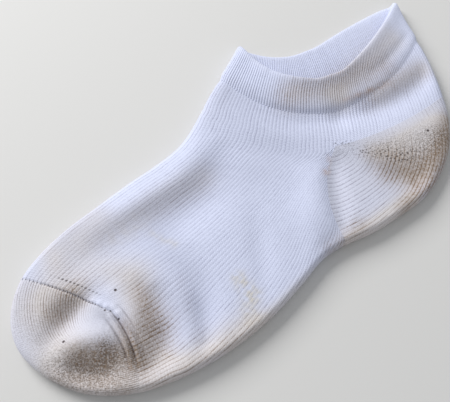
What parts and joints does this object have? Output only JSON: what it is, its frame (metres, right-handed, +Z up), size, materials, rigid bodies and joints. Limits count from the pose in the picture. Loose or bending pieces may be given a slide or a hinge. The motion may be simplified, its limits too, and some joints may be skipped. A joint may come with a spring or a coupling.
{
  "type": "low-cut cotton sock",
  "caption": "Low-cut knitted cotton sock lying flat on its side, with a ribbed turned-over cuff, a rounded heel pocket and a seamed toe pocket. It is hollow, and its mouth is open.",
  "frame": {"origin": "under the middle of the sock's box, on the surface it lies on", "axes": "+X from the toe to the heel, +Y from the sole to the instep and the mouth, +Z up from the surface through the sock's side"},
  "size_m": [0.268, 0.1393, 0.0174],
  "materials": {
    "cuff_rib": "fine ribbed cotton welt, matt, slightly blue white",
    "body_knit": "ribbed cotton jersey, matt, slightly blue white with faint yellow wash stains",
    "heel_terry": "thick terry cotton, matt, cream with worn grey-brown dirt",
    "toe_terry": "thick terry cotton, matt, cream with worn grey-brown dirt"
  },
  "bodies": {
    "root": {"cuff": "cuff_rib", "leg_foot": "body_knit", "heel": "heel_terry", "toe": "toe_terry"}
  },
  "joints": []
}
